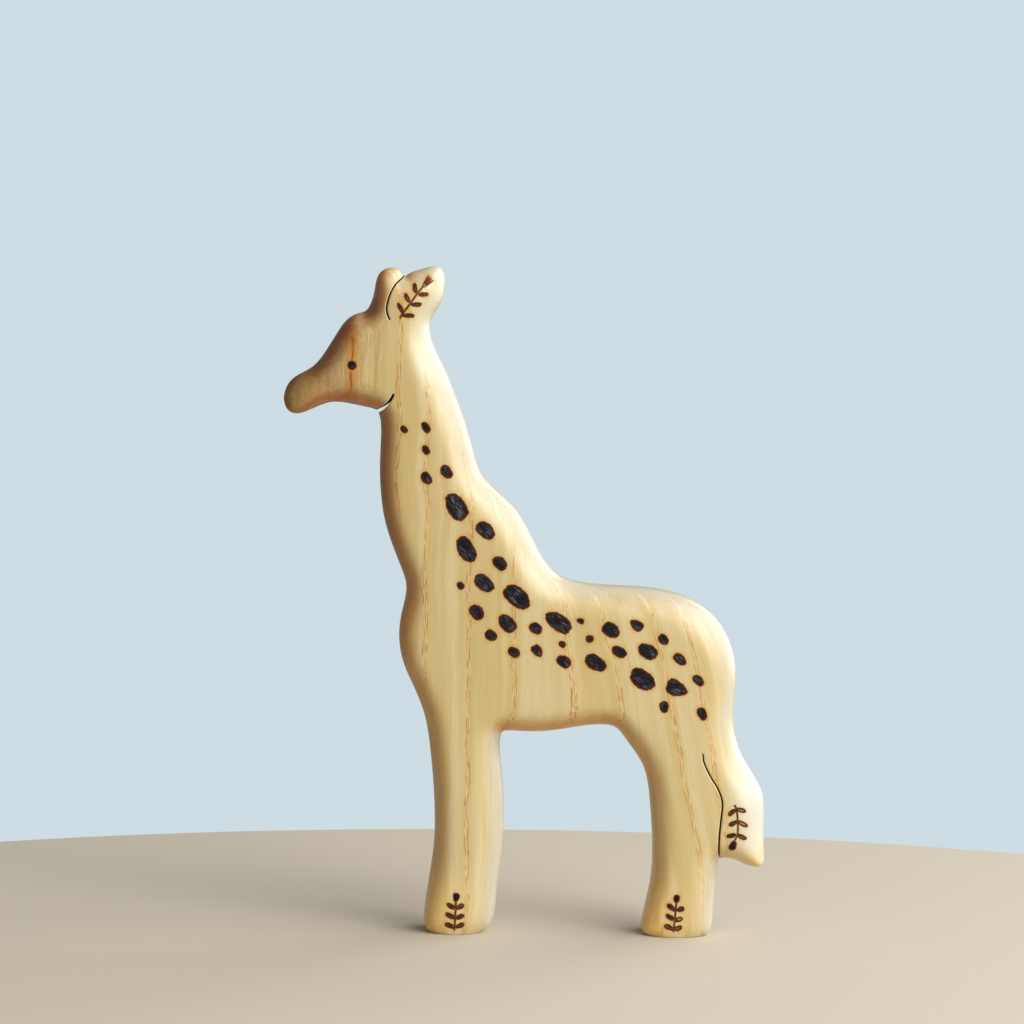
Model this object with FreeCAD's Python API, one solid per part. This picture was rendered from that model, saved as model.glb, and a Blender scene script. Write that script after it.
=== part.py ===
import FreeCAD
import Part

import math
import os

from FreeCAD import Vector

# A giraffe sawn from one ash board, with rounded edges, which stands on two broad feet.
# Its ear and its tail are flaps that saw cuts free from the body as far as their roots.
# Its spots, eye and sprigs are burned into both sides, each side like the other.
# Millimetres. +Z is up, the head points to -X and the giraffe's left side faces -Y.
# The origin is the middle of the footprint, on the surface that the soles rest on.

BOARD = 22.0              # thickness of the board
WALL = 5.0                # plain band left round the middle of the edge
ROUND_SIDE = 6.5          # how far the rounding runs in from an upright edge
ROUND_TOP = 10.0          # the same where the edge faces up, as along the back
ROUND_LIMIT = 0.70        # largest share of the local half width that is rounded
ROUND_BLENDS = 6          # how often the rounding is averaged with its neighbours
CHAR_DEPTH = 0.5          # depth of the burned marks
EAR_KERF = (0.55, 0.45)   # saw cut widths, at the mouth and at the inner end
TAIL_KERF = (0.60, 0.50)
JAW_KERF = (1.00, 0.60)
SNOUT_START = -47.0       # where the muzzle begins to thin
SNOUT_ENTRY = 4.0         # degrees that its cheek turns in by there
SNOUT_TIP = -67.5
SNOUT_TIP_HALF = 6.5      # half thickness left at the tip of the muzzle
SNOUT_UNDER = 138.0       # the trimmed part of the head is above this height
EYE_CENTRE = (-48.4, 157.0)
EYE_RADIUS = 1.25
STEM_WIDTH = 0.5
OUTLINE_SAMPLES = 1500    # points used to measure how wide the outline is
CLEAR = 40.0              # how far helper prisms stand past the board
ROOM = 400.0              # side of the box that keeps what is above the floor

HALF = BOARD / 2.0

# The outline, clockwise as seen from the left side, in named stretches of (x, z).
# The two soles bulge under the floor and are then cut flat.
HIND_LEG_REAR = [(54.8, 20.8), (54.6, 18.5), (54.2, 14.5), (53.7, 9.5), (53.4, 4.0),
                 (52.8, 1.2), (51.4, -0.6)]
HIND_SOLE = [(49.8, -1.6), (47.0, -2.9), (43.2, -3.7), (39.0, -2.9), (36.2, -1.5)]
HIND_LEG_FRONT = [(34.4, -0.3), (33.7, 1.2), (33.9, 3.6), (34.7, 7.5), (35.9, 13.2),
                  (36.5, 20.0), (36.4, 27.0), (35.9, 34.0), (35.2, 40.5), (33.7, 46.3),
                  (31.3, 50.5), (28.2, 54.7)]
BELLY = [(25.6, 57.5), (22.5, 58.2), (18.0, 58.0), (12.0, 57.0), (5.0, 56.1),
         (-1.0, 56.1), (-4.8, 56.1), (-5.8, 55.7)]
FRONT_LEG_REAR = [(-6.3, 54.5), (-6.5, 51.0), (-6.1, 46.5), (-5.4, 40.0), (-5.1, 33.0),
                  (-5.3, 26.5), (-6.0, 19.5), (-6.8, 13.0), (-7.1, 7.5), (-7.8, 3.6),
                  (-8.9, 1.4)]
FRONT_SOLE = [(-10.4, 0.0), (-12.3, -1.5), (-15.2, -3.0), (-18.6, -3.7), (-22.0, -2.9),
              (-24.5, -1.2)]
FRONT_LEG_FRONT = [(-26.1, 0.2), (-26.8, 1.9), (-27.0, 4.5), (-26.4, 10.0),
                   (-25.4, 17.0), (-24.5, 24.0), (-24.3, 31.0), (-24.7, 40.0),
                   (-25.5, 48.5), (-26.7, 57.0)]
CHEST = [(-28.2, 62.5), (-31.0, 69.0), (-33.6, 75.0), (-34.8, 82.0), (-34.3, 88.0),
         (-33.2, 93.2), (-33.1, 97.0)]
THROAT = [(-34.5, 101.3), (-37.0, 107.5), (-39.2, 114.5), (-40.3, 121.5),
          (-40.7, 129.0), (-40.5, 137.0), (-40.6, 141.2), (-41.1, 143.6)]
JAW = [(-42.0, 144.8), (-44.5, 145.5), (-49.5, 146.5), (-54.0, 146.8), (-57.6, 145.8),
       (-61.0, 144.3)]
SNOUT = [(-63.5, 143.5), (-66.0, 144.1), (-67.4, 146.5), (-67.4, 149.0),
         (-66.2, 151.9), (-63.8, 154.1), (-60.6, 155.9), (-58.0, 158.2)]
FOREHEAD = [(-55.2, 162.3), (-52.3, 167.0), (-50.2, 169.7), (-47.5, 171.3),
            (-45.2, 172.1)]
OSSICONE = [(-43.9, 173.9), (-42.9, 177.0), (-42.3, 180.5), (-41.0, 183.0),
            (-38.5, 184.1), (-36.5, 183.9), (-35.3, 182.7)]
EAR = [(-34.5, 181.9), (-33.2, 182.6), (-30.3, 183.7), (-27.0, 184.6), (-24.8, 184.4),
       (-23.6, 182.4), (-23.5, 178.8), (-24.5, 174.6), (-26.6, 171.0)]
NAPE = [(-27.4, 168.0), (-27.1, 165.0), (-25.4, 160.8), (-22.3, 154.6),
        (-20.0, 149.0), (-17.9, 143.5), (-15.8, 136.9), (-14.1, 131.0),
        (-12.6, 127.4), (-10.4, 124.8), (-6.5, 121.3), (-2.6, 117.3)]
BACK = [(0.2, 112.8), (3.2, 107.0), (6.2, 102.4), (9.8, 99.3), (14.0, 97.8),
        (20.8, 96.9), (29.0, 96.6), (37.0, 95.9), (43.5, 94.4)]
RUMP = [(49.0, 91.7), (53.2, 88.0), (56.4, 83.0), (58.3, 77.2), (58.9, 70.5),
        (58.5, 65.0), (58.3, 60.5), (59.0, 55.2), (60.6, 50.7)]
TAIL = [(63.3, 46.0), (65.7, 42.0), (66.9, 38.5), (67.3, 33.5), (67.3, 27.0),
        (67.5, 22.0), (67.3, 20.0), (66.2, 19.1)]
TAIL_END = [(64.3, 19.1), (61.5, 20.0), (58.5, 21.2), (55.7, 21.4)]
STRETCHES = [HIND_LEG_REAR, HIND_SOLE, HIND_LEG_FRONT, BELLY, FRONT_LEG_REAR,
             FRONT_SOLE, FRONT_LEG_FRONT, CHEST, THROAT, JAW, SNOUT, FOREHEAD,
             OSSICONE, EAR, NAPE, BACK, RUMP, TAIL, TAIL_END]

# Saw cuts, each from just outside its mouth to its inner end.
EAR_CUT = [(-33.9, 183.0), (-35.2, 181.1), (-36.9, 179.2), (-38.3, 176.4),
           (-39.1, 173.2), (-38.9, 171.2), (-38.3, 169.8)]
JAW_CUT = [(-43.0, 143.6), (-41.5, 144.4), (-39.9, 145.3), (-38.3, 146.8),
           (-37.4, 148.2), (-37.0, 149.0)]
TAIL_CUT = [(55.3, 19.2), (54.9, 21.4), (54.5, 24.5), (54.5, 28.0), (54.8, 32.2),
            (55.2, 36.0), (55.0, 38.8), (53.8, 41.7), (52.1, 44.4), (50.8, 46.8),
            (49.9, 49.0), (49.6, 51.1)]
# Where each flap grows out of the body: the far end of its root line, past the edge.
EAR_ROOT = (-24.0, 165.5)
TAIL_ROOT = (63.0, 54.5)

# Burned spots: x, z, length, width and the slope of the length in degrees.
NECK_SPOTS = [(-33.9, 139.6, 2.3, 1.7, -45), (-27.9, 140.2, 3.3, 2.1, -60),
              (-27.8, 134.0, 2.8, 1.9, -55), (-27.6, 126.3, 3.8, 2.6, -55),
              (-22.1, 128.1, 4.0, 2.9, -50)]
SHOULDER_SPOTS = [(-19.2, 118.4, 8.0, 5.2, -55), (-11.2, 112.1, 5.8, 4.0, -45),
                  (-16.4, 106.8, 7.5, 4.6, -60), (-7.1, 103.1, 4.4, 3.3, -45),
                  (-11.4, 97.6, 6.2, 3.9, -40), (-17.8, 96.8, 2.3, 1.9, -45),
                  (-2.3, 93.9, 8.1, 5.2, -40), (-13.3, 89.5, 4.5, 3.6, -50),
                  (-4.8, 86.5, 5.6, 4.0, -45), (-9.3, 83.2, 3.5, 2.9, -40),
                  (-2.9, 78.6, 3.5, 2.7, -30)]
FLANK_SPOTS = [(3.0, 85.3, 3.8, 2.9, -35), (3.5, 79.1, 3.8, 2.5, -50),
               (9.3, 87.0, 8.0, 4.5, -37), (10.4, 81.0, 2.1, 1.7, -30),
               (10.9, 76.2, 4.2, 3.2, -35), (15.3, 87.5, 2.1, 1.5, -20),
               (17.9, 82.6, 2.2, 2.1, 0), (19.6, 76.0, 6.5, 3.9, -32),
               (23.7, 85.1, 5.2, 3.8, -35), (26.1, 79.1, 4.3, 2.9, -30)]
RUMP_SPOTS = [(30.7, 86.6, 4.0, 2.7, -35), (38.2, 82.7, 3.3, 2.5, -50),
              (34.0, 79.3, 5.6, 4.0, -30), (32.6, 71.6, 7.4, 5.1, -35),
              (42.8, 77.3, 4.1, 2.6, -38), (42.1, 69.2, 6.2, 4.1, -25),
              (38.7, 64.1, 3.2, 2.6, -80), (48.0, 71.5, 3.6, 2.4, -45),
              (49.2, 62.3, 3.7, 2.5, -60)]

# Burned sprigs: the stem, the bud's two ends and width, each leaf's two ends, and how
# wide the leaves are.
EAR_SPRIG = {
    "stem": [(-35.4, 170.0), (-34.6, 171.5), (-32.7, 174.0), (-30.8, 176.8),
             (-29.2, 178.9)],
    "bud": ((-29.3, 178.7), (-27.0, 181.3), 1.4),
    "leaves": [((-34.6, 171.5), (-36.0, 174.2)), ((-32.9, 174.4), (-34.1, 176.9)),
               ((-31.2, 177.0), (-31.6, 179.8)), ((-35.0, 170.9), (-31.4, 170.8)),
               ((-32.5, 173.9), (-29.5, 173.9)), ((-30.4, 176.6), (-27.8, 176.8))],
    "leaf_width": 1.2,
}
FRONT_FOOT_SPRIG = {
    "stem": [(-18.0, 9.6), (-18.1, 6.5), (-18.2, 4.0), (-18.3, 1.4)],
    "bud": ((-18.0, 9.3), (-17.9, 11.7), 1.8),
    "leaves": [((-18.2, 7.4), (-20.5, 8.6)), ((-18.2, 4.6), (-20.8, 6.0)),
               ((-18.2, 1.9), (-21.0, 3.2)), ((-18.0, 7.3), (-15.8, 8.5)),
               ((-17.9, 4.5), (-15.8, 5.7)), ((-18.0, 2.0), (-15.7, 3.2))],
    "leaf_width": 1.4,
}
HIND_FOOT_SPRIG = {
    "stem": [(42.9, 9.9), (42.7, 7.0), (42.5, 4.5), (42.2, 1.8)],
    "bud": ((42.9, 9.7), (43.0, 12.0), 1.7),
    "leaves": [((42.7, 7.6), (40.4, 9.3)), ((42.5, 5.1), (40.1, 6.3)),
               ((42.2, 2.3), (39.7, 3.5)), ((42.9, 7.7), (45.2, 8.3)),
               ((42.5, 4.9), (44.7, 5.4)), ((42.2, 2.2), (44.6, 3.1))],
    "leaf_width": 1.4,
}
TAIL_SPRIG = {
    "stem": [(58.5, 37.1), (59.1, 36.0), (59.5, 32.8), (59.5, 29.2), (58.6, 26.9)],
    "bud": ((58.8, 27.2), (57.8, 24.5), 1.9),
    "leaves": [((59.0, 36.0), (56.9, 34.3)), ((59.4, 32.7), (57.1, 31.4)),
               ((59.2, 28.9), (56.5, 28.4)), ((59.1, 36.1), (61.7, 35.3)),
               ((59.5, 32.7), (62.2, 31.2)), ((59.4, 28.9), (62.0, 27.7))],
    "leaf_width": 1.3,
}


def at(point, y=0.0):
    """The outline's (x, z) as a point of the model."""
    return Vector(point[0], y, point[1])


def chord_parameters(points):
    """Centripetal parameters for a closed curve through the points, from 0 to 1."""
    sums = [0.0]
    for here, there in zip(points, points[1:] + points[:1]):
        sums.append(sums[-1] + math.sqrt((there - here).Length))
    return [value / sums[-1] for value in sums]


def closed_curve(points, parameters):
    """A smooth closed curve through the points, with plain (not periodic) knots."""
    curve = Part.BSplineCurve()
    curve.interpolate(Points=points, PeriodicFlag=True, Parameters=parameters)
    curve.setNotPeriodic()
    return curve


def inward(curve, parameter):
    """The unit vector that points into the board, across the outline."""
    along = curve.tangent(parameter)[0]
    return Vector(along.z, 0.0, -along.x)


def half_width(point, normal, others):
    """Radius of the largest circle in the outline that touches it at the point."""
    radius = CLEAR
    for other in others:
        chord = other - point
        depth = chord.dot(normal)
        if depth > 1e-3:
            radius = min(radius, chord.dot(chord) / (2.0 * depth))
    return radius


def rounding_steps(points, normals, around):
    """How far, and which way, the rounding runs in from each point of the outline."""
    steps = []
    for point, normal in zip(points, normals):
        width = ROUND_SIDE + (ROUND_TOP - ROUND_SIDE) * max(0.0, -normal.z)
        limit = ROUND_LIMIT * half_width(point, normal, around)
        steps.append(normal * min(width, limit))
    for _ in range(ROUND_BLENDS):
        after = steps[1:] + steps[:1]
        before = steps[-1:] + steps[:-1]
        steps = [(a + b * 2.0 + c) * 0.25 for a, b, c in zip(before, steps, after)]
    return steps


def rounded_board(inset):
    """The whole board with its edges rounded over, shrunk all round by the inset."""
    points = [at(point) for stretch in STRETCHES for point in stretch]
    parameters = chord_parameters(points)
    edge = closed_curve(points, parameters)
    normals = [inward(edge, parameter) for parameter in parameters[:-1]]
    steps = rounding_steps(points, normals, edge.discretize(Number=OUTLINE_SAMPLES))
    outer = [point + normal * inset for point, normal in zip(points, normals)]
    inner = [point + step for point, step in zip(points, steps)]
    outer_curve = closed_curve(outer, parameters)
    inner_curve = closed_curve(inner, parameters)
    seams = [0.0]
    count = 0
    for stretch in STRETCHES:
        count += len(stretch)
        seams.append(parameters[count])
    face_y = HALF - inset
    wall_y = WALL / 2.0
    faces = []
    rims = []
    for start, end in zip(seams, seams[1:]):
        rim = rim_surface(outer_curve, inner_curve, wall_y, face_y)
        rim.segment(start, end, 0.0, 1.0)
        rims.append(rim)
        faces.append(rim.toShape())
        faces.append(mirrored(rim.toShape()))
        wall = edge_piece(outer_curve, start, end, -wall_y)
        faces.append(wall.extrude(Vector(0.0, 2.0 * wall_y, 0.0)))
    brink = Part.Wire([rim.vIso(1.0).toShape() for rim in rims])
    cheek = Part.Face(brink)
    faces.append(cheek)
    faces.append(mirrored(cheek))
    return solid_from(faces)


def rim_surface(outer, inner, wall_y, face_y):
    """Quarter ellipses that join the outer curve's wall to the inner curve's face."""
    grid = []
    for out_pole, in_pole in zip(outer.getPoles(), inner.getPoles()):
        grid.append([Vector(out_pole.x, -wall_y, out_pole.z),
                     Vector(out_pole.x, -face_y, out_pole.z),
                     Vector(in_pole.x, -face_y, in_pole.z)])
    weights = [[1.0, math.sqrt(0.5), 1.0] for _ in grid]
    surface = Part.BSplineSurface()
    surface.buildFromPolesMultsKnots(
        grid, outer.getMultiplicities(), [3, 3], outer.getKnots(), [0.0, 1.0],
        False, False, outer.Degree, 2, weights)
    return surface


def edge_piece(curve, start, end, y):
    """The stretch of a curve between two parameters, moved to a depth of y."""
    piece = curve.copy()
    piece.segment(start, end)
    piece.translate(Vector(0.0, y, 0.0))
    return piece.toShape()


def solid_from(faces):
    """One closed solid from faces that meet edge to edge."""
    shell = Part.Compound(faces)
    shell.sewShape()
    solid = Part.Solid(shell.Shells[0])
    if solid.Volume < 0.0:
        solid.reverse()
    return solid


def mirrored(shape):
    """The same shape on the giraffe's other side."""
    return shape.mirror(Vector(0.0, 0.0, 0.0), Vector(0.0, 1.0, 0.0))


def smooth_edge(points, y=0.0):
    """One open smooth edge through (x, z) points."""
    curve = Part.BSplineCurve()
    curve.interpolate(Points=[at(point, y) for point in points])
    return curve.toShape()


def ribbon(points, start_width, end_width, y=0.0):
    """A flat band along a smooth line, square at its start and round at its end."""
    middle = smooth_edge(points, y)
    steps = 3 * len(points)
    first, last = middle.ParameterRange
    left = []
    right = []
    for step in range(steps + 1):
        share = step / steps
        parameter = first + (last - first) * share
        half = (start_width + (end_width - start_width) * share) / 2.0
        centre = middle.valueAt(parameter)
        along = middle.tangentAt(parameter)
        side = Vector(along.z, 0.0, -along.x) * half
        left.append(centre + side)
        right.append(centre - side)
    tip = middle.valueAt(last) + middle.tangentAt(last) * (end_width / 2.0)
    left_curve = Part.BSplineCurve()
    left_curve.interpolate(Points=left)
    right_curve = Part.BSplineCurve()
    right_curve.interpolate(Points=right[::-1])
    outline = [left_curve.toShape(), Part.Arc(left[-1], tip, right[-1]).toShape(),
               right_curve.toShape(), Part.makeLine(right[0], left[0])]
    return Part.Face(Part.Wire(outline))


def kerf(points, widths):
    """The slot that a fretsaw leaves, right through the board."""
    slot = ribbon(points, widths[0], widths[1], -CLEAR)
    return slot.extrude(Vector(0.0, 2.0 * CLEAR, 0.0))


def flap_region(cut, beyond, root):
    """Everything on the flap's side of a saw cut and of the line across its root."""
    split = smooth_edge(cut, -CLEAR)
    corners = [at(cut[0], -CLEAR)]
    corners += [at(point, -CLEAR) for point in beyond]
    corners += [at(root, -CLEAR), at(cut[-1], -CLEAR)]
    lines = [Part.makeLine(a, b) for a, b in zip(corners, corners[1:])]
    region = Part.Face(Part.Wire(Part.__sortEdges__([split] + lines)))
    return region.extrude(Vector(0.0, 2.0 * CLEAR, 0.0))


def muzzle_trim():
    """What is carved off the left side of the head to thin it towards the muzzle."""
    entry = math.radians(SNOUT_ENTRY)
    length = SNOUT_START - SNOUT_TIP
    turn = 2.0 * math.atan2(HALF - SNOUT_TIP_HALF, length) - entry
    radius = length / (math.sin(turn) - math.sin(entry))
    centre_x = SNOUT_START + radius * math.sin(entry)
    centre_y = radius * math.cos(entry) - HALF

    def cheek(angle):
        return Vector(centre_x - radius * math.sin(angle),
                      centre_y - radius * math.cos(angle), SNOUT_UNDER)

    start = cheek(entry / 2.0)
    end = cheek(turn * 1.1)
    away = Vector(0.0, -CLEAR, 0.0)
    profile = [Part.Arc(start, cheek(turn / 2.0), end).toShape(),
               Part.makeLine(end, end + away), Part.makeLine(end + away, start + away),
               Part.makeLine(start + away, start)]
    return Part.Face(Part.Wire(profile)).extrude(Vector(0.0, 0.0, CLEAR))


def above_floor(shape):
    """The shape with everything under the soles cut away."""
    corner = Vector(-ROOM / 2.0, -ROOM / 2.0, 0.0)
    return shape.common(Part.makeBox(ROOM, ROOM, ROOM, corner))


def disc(centre, radius):
    """A flat disc in the plane of the board."""
    circle = Part.Circle(at(centre), Vector(0.0, 1.0, 0.0), radius)
    return Part.Face(Part.Wire(circle.toShape()))


def oval(centre, length, width, slope):
    """A flat ellipse in the plane of the board, with its length at the given slope."""
    ellipse = Part.Ellipse(Vector(0.0, 0.0, 0.0), length / 2.0, width / 2.0)
    face = Part.Face(Part.Wire(ellipse.toShape()))
    face.rotate(Vector(0.0, 0.0, 0.0), Vector(1.0, 0.0, 0.0), 90.0)
    face.rotate(Vector(0.0, 0.0, 0.0), Vector(0.0, -1.0, 0.0), slope)
    face.translate(at(centre))
    return face


def oval_between(start, end, width):
    """An ellipse whose length runs from one (x, z) point to another."""
    run = (end[0] - start[0], end[1] - start[1])
    centre = ((start[0] + end[0]) / 2.0, (start[1] + end[1]) / 2.0)
    slope = math.degrees(math.atan2(run[1], run[0]))
    return oval(centre, math.hypot(*run), width, slope)


def burned(flat, skin):
    """The burned skin of the left side inside a flat outline."""
    prism = flat.extrude(Vector(0.0, -CLEAR, 0.0))
    return prism.common(skin)


def spots(rows, skin):
    """A group of separate burned ovals."""
    return [burned(oval(row[:2], *row[2:]), skin) for row in rows]


def sprig(shape, skin):
    """A burned stem with its leaves and bud, as one mark."""
    start, end, width = shape["bud"]
    flats = [ribbon(shape["stem"], STEM_WIDTH, STEM_WIDTH),
             oval_between(start, end, width)]
    for base, tip in shape["leaves"]:
        flats.append(oval_between(base, tip, shape["leaf_width"]))
    prisms = [flat.extrude(Vector(0.0, -CLEAR, 0.0)) for flat in flats]
    whole = prisms[0].fuse(prisms[1:]).removeSplitter()
    return [whole.common(skin)]


def separate_solids(shapes):
    """One compound of the plain solids in the shapes."""
    return Part.Compound([solid for shape in shapes for solid in shape.Solids])


def carved(board):
    """A rounded board with its muzzle thinned and its soles cut flat."""
    trim = muzzle_trim()
    return above_floor(board.cut(trim).cut(mirrored(trim)))


def main():
    """Make every sub-part and write each one to its own file."""
    board = carved(rounded_board(0.0))
    core = carved(rounded_board(CHAR_DEPTH))
    skin = board.cut(core)
    cuts = [kerf(EAR_CUT, EAR_KERF), kerf(JAW_CUT, JAW_KERF), kerf(TAIL_CUT, TAIL_KERF)]

    left_marks = {
        "eye": [burned(disc(EYE_CENTRE, EYE_RADIUS), skin)],
        "neck_spots": spots(NECK_SPOTS, skin),
        "shoulder_spots": spots(SHOULDER_SPOTS, skin),
        "flank_spots": spots(FLANK_SPOTS, skin),
        "rump_spots": spots(RUMP_SPOTS, skin),
        "ear_sprig": sprig(EAR_SPRIG, skin),
        "front_foot_sprig": sprig(FRONT_FOOT_SPRIG, skin),
        "hind_foot_sprig": sprig(HIND_FOOT_SPRIG, skin),
        "tail_sprig": sprig(TAIL_SPRIG, skin),
    }
    marks = {}
    for name, shapes in left_marks.items():
        marks["left_" + name] = separate_solids(shapes)
        marks["right_" + name] = separate_solids([mirrored(s) for s in shapes])

    pockets = [solid for mark in marks.values() for solid in mark.Solids]
    wood = board.cut(cuts).cut(pockets)
    ear_side = flap_region(EAR_CUT, [(-33.9, 190.0), (-10.0, 190.0)], EAR_ROOT)
    tail_side = flap_region(TAIL_CUT, [(75.0, 15.0)], TAIL_ROOT)

    nodes = {
        "carved_body": wood.cut([ear_side, tail_side]),
        "ear_flap": wood.common(ear_side),
        "tail_flap": wood.common(tail_side),
    }
    nodes.update(marks)
    os.makedirs("parts", exist_ok=True)
    for name, shape in nodes.items():
        whole = separate_solids([shape])
        single = whole.Solids[0] if len(whole.Solids) == 1 else whole
        single.exportStep("parts/" + name + ".step")
        print("%-24s %2d solids, %9.2f mm3, valid: %s"
              % (name, len(whole.Solids), single.Volume, single.isValid()))


main()
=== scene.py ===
import math
from functools import partial, reduce
from types import SimpleNamespace

import bpy
import numpy as np
from mathutils import Euler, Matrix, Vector
from mathutils.geometry import delaunay_2d_cdt
from mathutils.kdtree import KDTree


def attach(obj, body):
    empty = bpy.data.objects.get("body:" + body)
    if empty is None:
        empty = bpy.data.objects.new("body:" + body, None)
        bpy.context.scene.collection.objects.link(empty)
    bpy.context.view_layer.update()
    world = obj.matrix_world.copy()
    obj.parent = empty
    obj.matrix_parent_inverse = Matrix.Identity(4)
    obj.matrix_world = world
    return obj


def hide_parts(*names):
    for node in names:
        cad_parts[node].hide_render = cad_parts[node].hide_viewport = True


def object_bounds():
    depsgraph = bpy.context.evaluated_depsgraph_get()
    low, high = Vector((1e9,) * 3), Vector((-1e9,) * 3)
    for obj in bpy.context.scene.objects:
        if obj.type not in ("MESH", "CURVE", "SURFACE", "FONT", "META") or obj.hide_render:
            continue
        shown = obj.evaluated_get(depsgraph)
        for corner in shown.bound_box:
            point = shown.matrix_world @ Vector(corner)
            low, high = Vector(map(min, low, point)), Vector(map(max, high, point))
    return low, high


# A giraffe sawn from one ash board and burned with spots, an eye and sprigs.
# Lengths are millimetres until a mesh is made. The board lies in the XZ plane, facing -X,
# with its left side to -Y. Each side is the same flat triangulation of its outline, lifted
# to the surface.

MM = 0.001
WOOD_NODES = ("carved_body", "ear_flap", "tail_flap")
SPOT_NODES = ("neck_spots", "shoulder_spots", "flank_spots", "rump_spots")

# The board: half its plain band and half its thickness. The rounding runs in furthest from
# edges that face up and less from those that face backwards or sideways.
WALL_HALF, BOARD_HALF = 2.5, 11.0
ROUND_TOP, ROUND_BACK, ROUND_SIDE = 9.6, 8.0, 6.0
ROUND_END, FLAT_SLOPE = 6.0, 0.0005  # how sharply the rounding ends, and its last fall
SOFT_START, SOFT_WIDTH = 0.3, 1.4  # where the smoothed distance takes over
MUZZLE_START, MUZZLE_TIP, MUZZLE_DROP, MUZZLE_CURVE = -44.0, -67.5, 4.5, 1.7
# Unevenness left by the sanding: two waves' length, sway, the sway's length, and start.
HOLLOW_DEPTH = 0.05
HOLLOW_WAVES = ((3.7, 1.3, 9.1, 0.0), (5.3, 1.1, 6.7, 1.0))

# The outline: its points' finest and coarsest spacing, the turn between them on a bend, in
# radians, rounds of averaging for the bend, and points of the CAD rim that count as one.
OUTLINE_STEPS = (0.2, 0.5)
BEND_STEP, BEND_BLUR, RIM_STEP = 0.13, 40, 0.06
# The feet are cut off at the floor: a sole's least length, and the uncut outline under it.
SOLE_LEAST, SOLE_DIP, SOLE_CURVE, LOWEST = 5.0, 3.7, 1.7, -9.0
SOLE_SHARES = (0.05, 0.12, 0.25, 0.5, 0.75, 0.88, 0.95)
CURVE_STEPS, TIP_STEPS = 24, 7  # in a smooth line, and round its end

# Rows of the mesh's points: distances inside the outline, round the marks and the cuts.
RING_OFFSETS = (0.012, 0.05, 0.195, 0.44, 0.76, 1.18, 1.67, 2.25, 2.9, 3.6)
MARK_RINGS, MARK_OUTER_RINGS, SLOT_RINGS = (0.13, 0.32), (0.65, 1.05), (0.13, 0.28, 0.45)
RING_SLACK = 0.03  # how far a ring's point may be from its own distance
RING_SPACING, OUTER_SPACING, EDGE_CLEARANCE = 0.1, 0.3, 0.16
FILL_SPACING, FILL_MARGIN, FILL_CLEARANCE = 0.85, 0.4, 0.45
ROW_RATIO = 0.866  # row height of near-equilateral triangles
FLOOR_LINE, FLOOR_STEP, ROOT_STEP = ((-40.0, 0.0), (70.0, 0.0)), 0.5, 0.8
JOIN, SLIVER = 1e-6, 1e-9  # least distance between points, and least area
BATCH = 1000  # points measured together, to save memory
STRIPS = 6  # rows of faces across the edge of the board
BOARD_SHARP, CHAR_SHARP = 40.0, 60.0  # degrees from which a corner stays sharp
FAR, REACH = 9.0, 2.0  # distances to marks and cuts are right up to REACH

# Burned marks: a pit in the wood, and a ridged skin of char in it.
PIT_DEPTH, PIT_WALL = 0.42, 0.15
MARK_DEPTH, MARK_SUNK = 0.12, 0.06  # of the char's surface, and under the pit's floor
MARK_OVERLAP = 0.02  # how far the char reaches past the pit's rim
RIM_DROP, RIM_WIDTH = 0.22, 0.22  # how its surface falls at the rim
RIDGE_HEIGHT, RIDGE_MEAN, RIDGE_START, RIDGE_WIDTH = 0.15, 0.4, 0.04, 0.2
STROKE_ROWS, STROKE_STEP, STROKE_RATIO = 5.0, 0.3, 2.5  # mesh points in one stroke
STROKE_SWAY, SWAY_TURN, SWAY_START = 0.12, 1.1, 2.4  # how the strokes bend
STROKE_SHIFT = 7.3  # between the marks' places in their noise
SKIN_RING, SKIN_MARGIN = 0.06, 0.07  # first rows of points inside a mark's outline

# Saw cuts: centre line from just outside the mouth, and the widths at its two ends. The
# corners are worn down, and the cut bows sideways inside the board, but not at the floor.
# The fourth of these is how far the painted shade on a cut's walls reaches beside it.
EASE, EASE_WIDTH, EASE_ABOVE, CUT_SHADE_WIDTH, CUT_STEP = 0.16, 0.35, 1.0, 0.15, 0.4
WANDER, WANDER_FROM, WANDER_LOWEST = 0.7, 5.0, 1.0
EAR_CUT = [(-33.9, 183.0), (-35.2, 181.1), (-36.9, 179.2), (-38.3, 176.4),
           (-39.1, 173.2), (-38.9, 171.2), (-38.3, 169.8)]
JAW_CUT = [(-43.0, 143.6), (-41.5, 144.4), (-39.9, 145.3), (-38.3, 146.8),
           (-37.4, 148.2), (-37.0, 149.0)]
TAIL_CUT = [(55.3, 19.2), (54.9, 21.4), (54.5, 24.5), (54.5, 28.0), (54.8, 32.2),
            (55.2, 36.0), (55.0, 38.8), (53.8, 41.7), (52.1, 44.4), (50.8, 46.8),
            (49.9, 49.0), (49.6, 51.1)]
CUTS = [(EAR_CUT, 0.32, 0.42), (JAW_CUT, 1.0, 0.6), (TAIL_CUT, 0.46, 0.32)]
# A flap's root runs from the end of its cut to here, and the rest goes round the flap.
EAR_ROOT, EAR_BEYOND = (-24.0, 165.5), [(-10.0, 190.0), (-33.9, 190.0)]
TAIL_ROOT, TAIL_BEYOND = (63.0, 54.5), [(75.0, 15.0)]

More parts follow.
